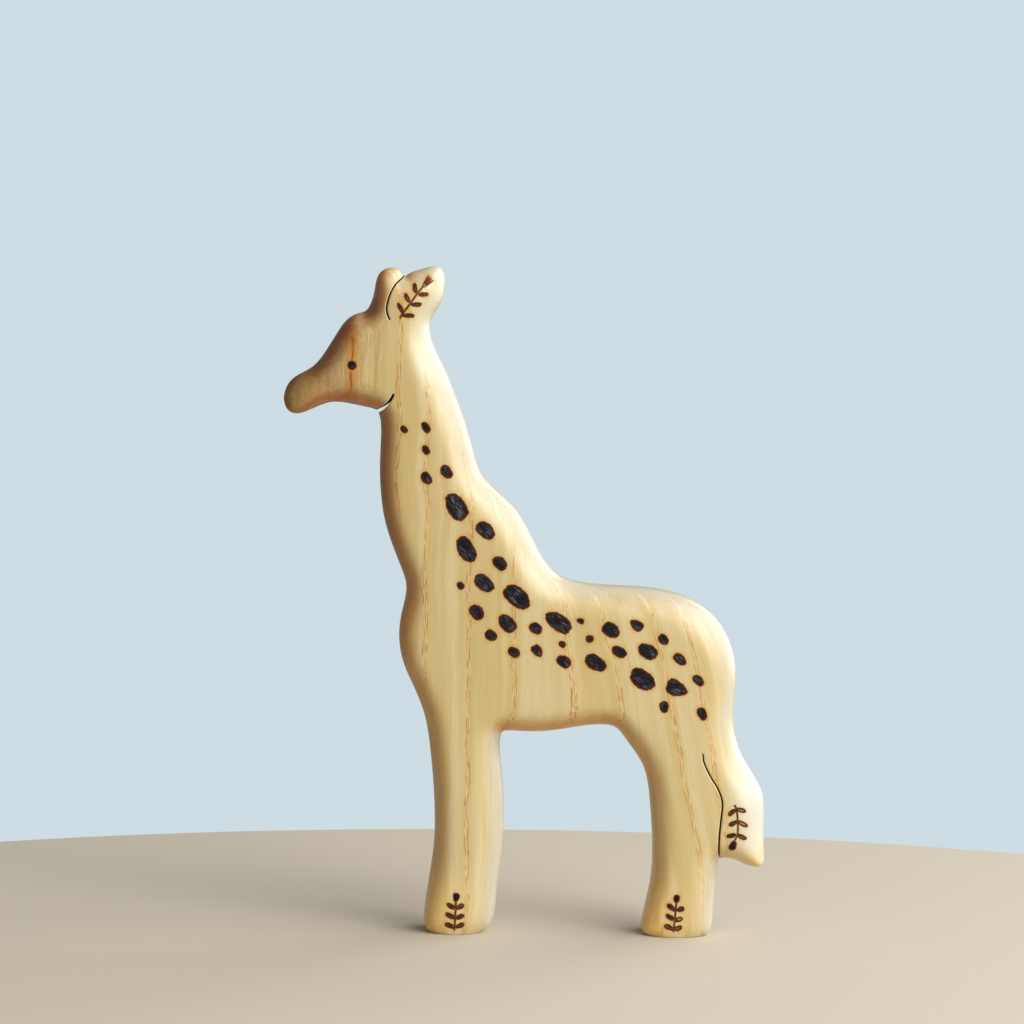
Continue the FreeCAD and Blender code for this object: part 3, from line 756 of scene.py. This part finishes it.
def mark_pieces():
    """One piece for each group of marks on each side."""
    built = {}
    for seed, (name, *mark) in enumerate(MARKS):
        built.setdefault(name, []).append(mark_patch(*mark, seed))
    pieces = {}
    for name, patches in built.items():
        faces, first = [], 0
        for points, patch_faces, _ in patches:
            faces += [tuple(i + first for i in face) for face in patch_faces]
            first += len(points)
        left = np.vstack([points for points, *_ in patches])
        attributes = {key: np.concatenate([fields[key] for *_, fields in patches])
                      for key in patches[0][2]}
        mirrored = [face[::-1] for face in faces]
        for side, points, sided in (("left_", left, faces),
                                    ("right_", left * (1, -1, 1), mirrored)):
            pieces[side + name] = new_object(side + name + "_char", points, sided,
                                             attributes, CHAR_SHARP)
    return pieces


# ---- materials ----

# Growth rings cross the board here, in millimetres along X at the height of the back.
RING_LINES = (-48.2, -35.4, -27.3, -15.2, -2.7, 10.9, 20.4, 34.0, 43.0, 55.0)
RING_LEVEL = 97.0
RING_SLANT = (0.0, 30.0, 0.0, 0.2)  # they lean back behind the middle
RING_TILT, RING_CURVE = 0.35, 0.09  # through the board's thickness
RING_DRIFT, RING_FRAY = 3.0, 0.9  # how far noise moves them, and that noise's scale:
DRIFT, FRAY = (0.03, 0.03, 0.06), (0.9, 0.9, 0.16)
SCORCHING = (0.45, 0.45, 0.3)  # scale of the noise in the scorched halos
PORE_ROW = 0.42  # from a ring's line to the row of pores on each side
LOOPS_AT, LOOPS_WIDTH = (-62.6, 149.3), 0.42  # loops of grain on the muzzle
# Noise in the grain: scale per millimetre across, through and along it, detail, roughness.
GRAIN = {"tone": ((0.22, 0.22, 0.008), 2.0, 0.55), "fibre": ((1.1, 1.1, 0.03), 3.0, 0.6),
         "fine": ((4.0, 4.0, 0.10), 2.0, 0.6), "dash": ((1.8, 1.8, 0.30), 1.0, 0.5),
         "vessel": ((5.0, 5.0, 0.22), 1.0, 0.5)}
# Zones of tone: where each starts and ends, in millimetres. Strengths there, if not 0 and 1.
HEAD_X, MUZZLE_X, TIP_X = (-38.0, -42.0), (-64.0, -46.0, 0.6, 0.0), (-58.0, -65.0)
EAR_X, EAR_Z, TAIL_X, TAIL_Z = (-38.0, -34.0), (150.0, 158.0), (54.0, 60.0), (84.0, 60.0)
EDGE = (7.5, 0.5)  # by the distance inside the outline
# Colours in linear light. The tints multiply the wood's own colour.
ASH_DARK, ASH_LIGHT = (0.54, 0.415, 0.178), (0.62, 0.505, 0.27)
FIBRE, FINE, HEAD_STREAK = (0.50, 0.35, 0.13), (0.49, 0.345, 0.135), (0.43, 0.22, 0.055)
RING_GLOW, RING_LIGHT, PORE = (0.64, 0.38, 0.09), (0.76, 0.64, 0.38), (0.36, 0.17, 0.035)
EYE_GLOW, EYE_LINE, LOOPS = (0.54, 0.22, 0.033), (0.28, 0.07, 0.010), (0.36, 0.15, 0.03)
# Painted shade on edges that face forwards or down, low and high on the body, on the brow and
# on the throat.
LOW_EDGE_SHADE, HIGH_EDGE_SHADE, BROW_SHADE = (1.06, 0.64, 0.25), (0.87, 0.47, 0.19), (0.45, 0.38, 0.46)
# The foot tint is painted bounce light from the floor. The tip tint darkens the muzzle tip.
TIP_TINT, THROAT_SHADE, FOOT_BOUNCE_LIGHT = (0.74, 0.92, 0.92), (0.70, 0.66, 0.62), (1.5, 1.42, 1.2)
# Painted highlight on edges that face backwards or up, on the ear and on the tail.
HIGHLIGHT_WOOD, HIGHLIGHT_GRAIN = (0.515, 0.49, 0.405), (0.46, 0.39, 0.26)
EAR_HIGHLIGHT, TAIL_HIGHLIGHT, TAIL_RIM_HIGHLIGHT = (0.64, 0.585, 0.42), (0.60, 0.565, 0.41), (0.62, 0.60, 0.54)
TAIL_TIP = (0.78, 0.53, 0.20)
# The last of these is painted shade for the saw cuts' walls.
SCORCH, PIT, CUT_SHADE = (0.58, 0.29, 0.05), (0.14, 0.036, 0.010), (0.16, 0.085, 0.03)
COAL, CHAR, GREY_STREAK = (0.004, 0.004, 0.005), (0.011, 0.008, 0.009), (0.19, 0.19, 0.24)
RIM, LEAF, STEM = (0.13, 0.032, 0.011), (0.46, 0.24, 0.08), (0.34, 0.12, 0.02)
WOOD_GLOSS = {"Coat Weight": 0.26, "Coat Roughness": 0.25, "IOR": 1.48}
CHAR_GLOSS = {"Specular IOR Level": 0.12}
BUMP_DEPTH = 0.00006


class Shader:
    """The node tree of a new material or world, built up by short calls."""

    def __init__(self, owner, surface="Principled BSDF"):
        owner.use_nodes = True
        self.owner = owner
        self.tree = owner.node_tree
        self.surface = self.tree.nodes[surface]

    def node(self, kind, inputs=(), **settings):
        made = self.tree.nodes.new(kind)
        for key, value in settings.items():
            setattr(made, key, value)
        for key, value in dict(inputs).items():
            self.put(made.inputs[key], value)
        return made

    def put(self, socket, value):
        """Link a socket to another, or set its value. A colour needs no alpha."""
        if isinstance(value, bpy.types.NodeSocket):
            self.tree.links.new(value, socket)
        elif socket.type == "RGBA":
            socket.default_value = (*value, 1.0)
        else:
            socket.default_value = value

    def math(self, operation, *values):
        inputs = dict(enumerate(values))
        return self.node("ShaderNodeMath", inputs, operation=operation).outputs[0]

    def product(self, *values):
        return reduce(partial(self.math, "MULTIPLY"), values)

    def most(self, *values):
        return reduce(partial(self.math, "MAXIMUM"), values)

    def span(self, value, start, end, at_start=0.0, at_end=1.0):
        """A smooth change from start to end, either of which can be the larger."""
        inputs = dict(enumerate((value, start, end, at_start, at_end)))
        return self.node("ShaderNodeMapRange", inputs,
                         interpolation_type="SMOOTHSTEP").outputs[0]

    def mix(self, factor, a, b, blend="MIX"):
        return self.node("ShaderNodeMix", data_type="RGBA", blend_type=blend,
                         inputs={0: factor, 6: a, 7: b}).outputs[2]

    def layers(self, colour, *layers, blend="MIX"):
        """The colour with each layer's colour over it, as far as its factor says."""
        for factor, over in layers:
            colour = self.mix(factor, colour, over, blend)
        return colour

    def noise(self, vector, factors, detail=2.0, rough=0.5):
        inputs = {"Vector": self.stretched(vector, factors), "Scale": 1.0,
                  "Detail": detail, "Roughness": rough}
        return self.node("ShaderNodeTexNoise", inputs).outputs[0]

    def stretched(self, vector, factors):
        return self.node("ShaderNodeVectorMath", {0: vector, 1: factors},
                         operation="MULTIPLY").outputs[0]

    def attribute(self, name, output="Fac"):
        return self.node("ShaderNodeAttribute", attribute_name=name).outputs[output]

    def finish(self, colour, roughness, height, strength, gloss):
        """Connect the colour, roughness and bump, and set the plain values of the gloss."""
        bump = self.node("ShaderNodeBump", {"Strength": strength, "Distance": BUMP_DEPTH,
                                            "Height": height}).outputs[0]
        inputs = {"Base Color": colour, "Roughness": roughness, "Normal": bump, **gloss}
        for name, value in inputs.items():
            self.put(self.surface.inputs[name], value)
        return self.owner


def wood_fields(s):
    """What the wood's colour depends on: place, direction, growth rings, grain, zones."""
    w = SimpleNamespace()
    coordinates = s.node("ShaderNodeTexCoord").outputs
    w.place = s.stretched(coordinates["Object"], (1.0 / MM,) * 3)
    w.x, w.y, w.z = s.node("ShaderNodeSeparateXYZ", {0: w.place}).outputs
    w.back, _, w.up = s.node("ShaderNodeSeparateXYZ", {0: coordinates["Normal"]}).outputs
    w.front = s.product(w.back, -1.0)
    w.down = s.product(w.up, -1.0)
    w.crown = s.span(w.up, 0.2, 0.6)

    slant = s.span(w.x, *RING_SLANT)
    ring = s.math("MULTIPLY_ADD", slant, s.math("SUBTRACT", w.z, RING_LEVEL), w.x)
    through = s.math("ADD", w.y, BOARD_HALF)
    curve = s.math("MULTIPLY_ADD", through, RING_CURVE, RING_TILT)
    ring = s.math("MULTIPLY_ADD", through, curve, ring)
    drift = s.math("SUBTRACT", s.noise(w.place, DRIFT, 1.0), 0.5)
    ring = s.math("MULTIPLY_ADD", drift, RING_DRIFT, ring)
    along = s.node("ShaderNodeCombineXYZ", {0: ring, 1: w.y, 2: w.z}).outputs[0]
    fray = s.math("SUBTRACT", s.noise(along, FRAY), 0.5)
    w.frayed = s.math("MULTIPLY_ADD", fray, RING_FRAY, ring)
    away = [s.math("ABSOLUTE", s.math("SUBTRACT", w.frayed, line)) for line in RING_LINES]
    w.gap = reduce(partial(s.math, "MINIMUM"), away)
    for name, (factors, detail, rough) in GRAIN.items():
        setattr(w, name, s.noise(along, factors, detail, rough))

    w.edge_gap = s.attribute("edge_gap")
    w.edge = s.span(w.edge_gap, *EDGE)
    w.head = s.span(w.x, *HEAD_X)
    w.tail = s.product(s.span(w.x, *TAIL_X), s.span(w.z, *TAIL_Z))
    w.ear = s.product(s.span(w.x, *EAR_X), s.span(w.z, *EAR_Z))
    return w


def grain_colour(s, w):
    """Pale ash with darker fibres, strongest on the head."""
    streaks = s.most(s.span(w.fine, 0.45, 0.6, 0.0, 0.5), s.span(w.fibre, 0.44, 0.6, 0.0, 0.55))
    return s.layers(s.mix(s.span(w.tone, 0.36, 0.64), ASH_DARK, ASH_LIGHT),
                    (s.span(w.fibre, 0.42, 0.75, 0.0, 0.32), FIBRE),
                    (s.span(w.fine, 0.48, 0.75, 0.0, 0.30), FINE),
                    (s.product(w.head, streaks), HEAD_STREAK))


def with_rings(s, w, colour):
    """Growth rings: a brown glow, a light line broken into dashes, and rows of pores."""
    faded = s.most(s.span(w.front, 0.55, 0.2), s.product(w.head, 0.8))
    glow = s.most(s.span(w.gap, 0.3, 2.2, 0.16, 0.0), s.span(w.gap, 0.2, 0.8, 0.42, 0.0))
    lit = s.product(s.span(w.gap, 0.42, 0.16), s.span(w.dash, 0.46, 0.58),
                    s.math("MULTIPLY_ADD", w.head, -0.65, 0.72))
    lit = s.most(lit, s.product(s.span(w.gap, 0.8, 0.3), w.crown, 0.6))
    beside = s.math("ABSOLUTE", s.math("SUBTRACT", w.gap, PORE_ROW))
    rows = s.product(s.span(beside, 0.17, 0.06), s.span(w.dash, 0.56, 0.46))
    middle = s.product(s.span(w.gap, 0.16, 0.05), s.span(w.dash, 0.46, 0.54))
    spread = s.product(s.span(w.vessel, 0.37, 0.31),
                       s.span(w.gap, 1.3, 0.5))
    strength = s.math("MULTIPLY_ADD", w.crown, -0.8, 0.8)
    w.pores = s.product(s.most(rows, middle, spread), strength, faded)
    return s.layers(colour, (s.product(glow, faded), RING_GLOW),
                    (s.product(lit, faded), RING_LIGHT), (w.pores, PORE))


def with_eye_ring(s, w, colour):
    """The red-brown ring through the eye, and the loops of grain on the muzzle."""
    broken = s.product(w.head, s.span(w.dash, 0.3, 0.5, 0.6, 1.0))
    glow = s.product(s.span(w.gap, 0.3, 2.4, 0.82, 0.0), broken)
    line = s.product(s.span(w.gap, 0.1, 0.4, 0.85, 0.0), broken, s.span(w.edge_gap, 2.5, 5.5))
    across = s.math("DIVIDE", s.math("SUBTRACT", w.frayed, LOOPS_AT[0]), LOOPS_WIDTH)
    upward = s.math("SUBTRACT", w.z, LOOPS_AT[1])
    loop = s.math("SQRT", s.math("MULTIPLY_ADD", upward, upward, s.product(across, across)))
    turn = s.math("ABSOLUTE", s.math("SUBTRACT", s.math("FRACT", loop), 0.5))
    loops = s.product(s.span(turn, 0.06, 0.18, 0.5, 0.0), s.span(loop, 3.6, 2.6))
    return s.layers(colour, (glow, EYE_GLOW), (line, EYE_LINE), (loops, LOOPS))


def with_painted_edge_shade(s, w, colour):
    """Painted shade on edges that face forwards or down, more on the brow and throat, a darker
    muzzle, and painted bounce light low on the feet.
    """
    spared = s.math("SUBTRACT", 1.0, s.math("MULTIPLY_ADD", w.tail, 0.5, w.ear))
    # Painted shade on edges that face forwards, and on those that face down except on the tail
    # and the ear, less of it near the floor. The muzzle darkens towards its tip.
    under = s.product(s.span(w.down, 0.1, 0.7), spared, s.span(w.z, 4.0, 14.0))
    turned = s.product(s.most(s.span(w.front, 0.0, 0.6), under),
                       s.span(w.z, 15.0, 100.0, 0.5, 1.0))
    edge_shade = s.most(s.product(w.edge, turned), s.span(w.x, *MUZZLE_X))
    tint = s.mix(s.span(w.z, 50.0, 105.0), LOW_EDGE_SHADE, HIGH_EDGE_SHADE)
    # Painted shade on the brow's forward-facing edges.
    brow = s.product(s.span(w.front, 0.15, 0.6), w.edge, w.head,
                     s.span(w.z, 148.0, 153.0), s.span(w.z, 171.0, 178.0, 1.0, 0.4))
    # Painted shade on the throat's forward-facing edges.
    throat = s.product(s.span(w.front, 0.3, 0.9), w.edge, s.span(w.z, 90.0, 125.0),
                       s.span(w.z, 150.0, 144.0))
    # Painted bounce light from the floor, on the lower feet where they face forwards.
    foot = s.product(s.span(w.z, 3.0, 22.0, 0.8, 0.0), s.span(w.front, -0.3, 0.5))
    return s.layers(colour, (edge_shade, tint), (brow, BROW_SHADE), (s.span(w.x, *TIP_X), TIP_TINT),
                    (throat, THROAT_SHADE), (foot, FOOT_BOUNCE_LIGHT), blend="MULTIPLY")


def with_painted_edge_highlight(s, w, colour):
    """Painted highlight on edges that face backwards or up, on the back of the ear and on the
    tail, and an orange tail tip.
    """
    # Painted highlight where the edges face backwards or up, weaker on the head.
    lifted = s.math("MULTIPLY_ADD", w.back, 0.85, s.product(w.up, 0.45))
    behind = s.span(w.x, -38.0, -30.0, 0.2125, 0.85)
    edge_highlight = s.product(s.span(lifted, 0.0, 0.55), w.edge, behind)
    figure = s.most(s.span(w.fibre, 0.42, 0.72, 0.0, 0.9), s.span(w.fine, 0.46, 0.72, 0.0, 0.7))
    # Painted highlight on the tail, whiter at its back edge, and on the back of the ear. The
    # tail's tip is orange.
    tail = s.product(w.tail, s.span(w.z, 19.0, 27.0, 0.0, 0.55))
    return s.layers(colour, (edge_highlight, s.mix(figure, HIGHLIGHT_WOOD, HIGHLIGHT_GRAIN)),
                    (s.product(w.ear, s.span(w.x, -34.0, -26.0, 0.0, 0.75)), EAR_HIGHLIGHT),
                    (tail, TAIL_HIGHLIGHT), (s.product(tail, s.span(w.x, 58.0, 63.0)), TAIL_RIM_HIGHLIGHT),
                    (s.product(w.tail, s.span(w.z, 28.0, 20.0, 0.0, 0.5)), TAIL_TIP))


def with_burns_and_cut_shade(s, w, colour):
    """Scorched wood round each mark, the dark walls of its pit, and painted shade on the saw
    cuts' walls.
    """
    gap = s.attribute("mark_gap")
    halo = s.most(s.span(gap, 0.0, 1.3, 0.72, 0.0), s.span(gap, 0.1, 0.6, 0.9, 0.0))
    scorch = s.noise(w.place, SCORCHING)
    halo = s.product(halo, s.span(scorch, 0.42, 0.62, 0.25, 1.0),
                     s.math("MULTIPLY_ADD", w.tail, -0.55, 1.0))
    # The last layer is painted shade on the saw cuts' walls.
    return s.layers(colour, (halo, SCORCH), (s.span(gap, 0.22, -0.08), PIT),
                    (s.span(s.attribute("sawn"), 0.2, 1.0), CUT_SHADE))


def wood_material():
    """Oiled ash, with a thin clear coat."""
    s = Shader(bpy.data.materials.new("oiled_ash"))
    w = wood_fields(s)
    colour = grain_colour(s, w)
    for layer in (with_rings, with_eye_ring, with_painted_edge_shade, with_painted_edge_highlight, with_burns_and_cut_shade):
        colour = layer(s, w, colour)
    dents = s.math("MULTIPLY_ADD", w.pores, -0.6, s.product(w.fine, 0.35))
    return s.finish(colour, s.span(w.fibre, 0.3, 0.7, 0.30, 0.40), dents, 0.35, WOOD_GLOSS)


def char_material():
    """Burned wood: near black, red-brown at its rim, with grey streaks along the strokes."""
    s = Shader(bpy.data.materials.new("burned_ash"))
    stroke = s.attribute("stroke", "Vector")
    rim_gap = s.attribute("rim_gap")
    pale = s.attribute("pale")
    streak = s.noise(stroke, (0.4, 7.5, 1.0))
    patch = s.noise(stroke, (0.35, 0.4, 1.0), 1.0)
    scrape = s.noise(stroke, (0.9, 0.9, 1.0))
    crust = s.noise(stroke, (2.0, 9.0, 1.0), 3.0, 0.7)
    grey_streaks = s.product(s.span(streak, 0.56, 0.66), s.span(patch, 0.44, 0.6, 0.3, 0.9),
                      s.span(rim_gap, 0.35, 0.8))
    rim = s.product(s.span(rim_gap, 0.6, 0.12), s.span(patch, 0.3, 0.6, 0.6, 1.0))
    leaf = s.product(s.span(rim_gap, 0.28, 0.5), s.most(pale, 0.0),
                     s.span(scrape, 0.4, 0.6, 0.3, 1.0))
    stem = s.product(s.most(s.product(pale, -1.0), 0.0), s.span(scrape, 0.42, 0.58, 0.1, 0.75))
    colour = s.layers(s.mix(s.span(patch, 0.35, 0.65), COAL, CHAR), (grey_streaks, GREY_STREAK),
                      (rim, RIM), (s.math("MINIMUM", leaf, 1.0), LEAF), (stem, STEM))
    return s.finish(colour, s.span(streak, 0.3, 0.7, 0.55, 0.75), crust, 0.5, CHAR_GLOSS)


# ---- the model ----

wood = wood_material()
for node, piece in board_pieces().items():
    piece.data.materials.append(wood)
    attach(piece, "root")
    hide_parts(node)

char = char_material()
for node, piece in mark_pieces().items():
    piece.data.materials.append(char)
    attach(piece, "root")
    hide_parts(node)


# ---- floor, light and camera ----

FLOOR_RADIUS, FLOOR_AT_Y, FLOOR_SIDES = 0.33, -0.118, 128
FLOOR_TOP, FLOOR_UNDER = -0.0001, -0.02
FLOOR_COLOUR, FLOOR_ROUGHNESS = (0.51, 0.46, 0.375), 0.7
BACKDROP, AMBIENT, AMBIENT_STRENGTH = (0.615, 0.72, 0.765), (0.80, 0.80, 0.76), 0.31
# Square lamps: place, side, watts and colour.
LAMPS = {"key": ((1.05, -0.45, 1.05), 1.5, 23.0, (1.0, 0.99, 0.97)),
         "rim": ((1.1, 0.9, 0.6), 1.2, 15.0, (1.0, 0.99, 0.98)),
         "fill": ((0.8, -1.05, 0.7), 1.0, 16.0, (1.0, 0.98, 0.94))}
LAMP_TARGET = (0.0, 0.0, 0.1)
# The camera is level with the neck, a metre away, and looks slightly down.
CAMERA_AT, CAMERA_DOWN, CAMERA_ROLL = (-0.00393, -1.0, 0.161), 2.53, 0.76
LENS = 126.5625


def floor_disc():
    """A round pale table top, whose surface is the floor."""
    n = FLOOR_SIDES
    turn = np.linspace(0.0, 2.0 * math.pi, n, endpoint=False)
    x, y = FLOOR_RADIUS * np.cos(turn), FLOOR_RADIUS * np.sin(turn) + FLOOR_AT_Y
    rims = [np.column_stack([x, y, np.full(n, z)]) for z in (FLOOR_TOP, FLOOR_UNDER)]
    faces = [tuple(range(n)), tuple(range(2 * n - 1, n - 1, -1))]
    faces += [(i + n, (i + 1) % n + n, (i + 1) % n, i) for i in range(n)]
    mesh = bpy.data.meshes.new("floor")
    mesh.from_pydata(np.vstack(rims).tolist(), [], faces)
    paint = Shader(bpy.data.materials.new("floor_paint"))
    paint.put(paint.surface.inputs["Base Color"], FLOOR_COLOUR)
    paint.put(paint.surface.inputs["Roughness"], FLOOR_ROUGHNESS)
    mesh.materials.append(paint.owner)
    disc = add_object("floor", mesh)


def area_lights():
    for name, (place, side, watts, colour) in LAMPS.items():
        data = bpy.data.lights.new(name, "AREA")
        data.shape = "SQUARE"
        data.size = side
        data.energy = watts
        data.color = colour
        lamp = add_object(name, data)
        lamp.location = place
        aim = Vector(LAMP_TARGET) - Vector(place)
        lamp.rotation_euler = aim.to_track_quat("-Z", "Y").to_euler()


def backdrop_and_ambient():
    """Pale blue all round, which lights the object less than it shows."""
    s = Shader(bpy.data.worlds.new("studio"), "Background")
    s.put(s.surface.inputs[0], BACKDROP)
    dim = s.node("ShaderNodeBackground", {0: AMBIENT, 1: AMBIENT_STRENGTH}).outputs[0]
    seen = s.node("ShaderNodeLightPath").outputs["Is Camera Ray"]
    both = s.node("ShaderNodeMixShader", {0: seen, 1: dim, 2: s.surface.outputs[0]})
    s.put(s.tree.nodes["World Output"].inputs[0], both.outputs[0])
    bpy.context.scene.world = s.owner


def camera():
    data = bpy.data.cameras.new("camera")
    data.lens = LENS
    made = add_object("camera", data)
    made.location = CAMERA_AT
    aim = Euler((math.radians(90.0 - CAMERA_DOWN), 0.0, 0.0)).to_matrix()
    roll = Euler((0.0, 0.0, math.radians(CAMERA_ROLL))).to_matrix()
    made.rotation_euler = (aim @ roll).to_euler()
    bpy.context.scene.camera = made


floor_disc()
backdrop_and_ambient()
area_lights()
camera()
bpy.context.scene.view_settings.view_transform = "Standard"
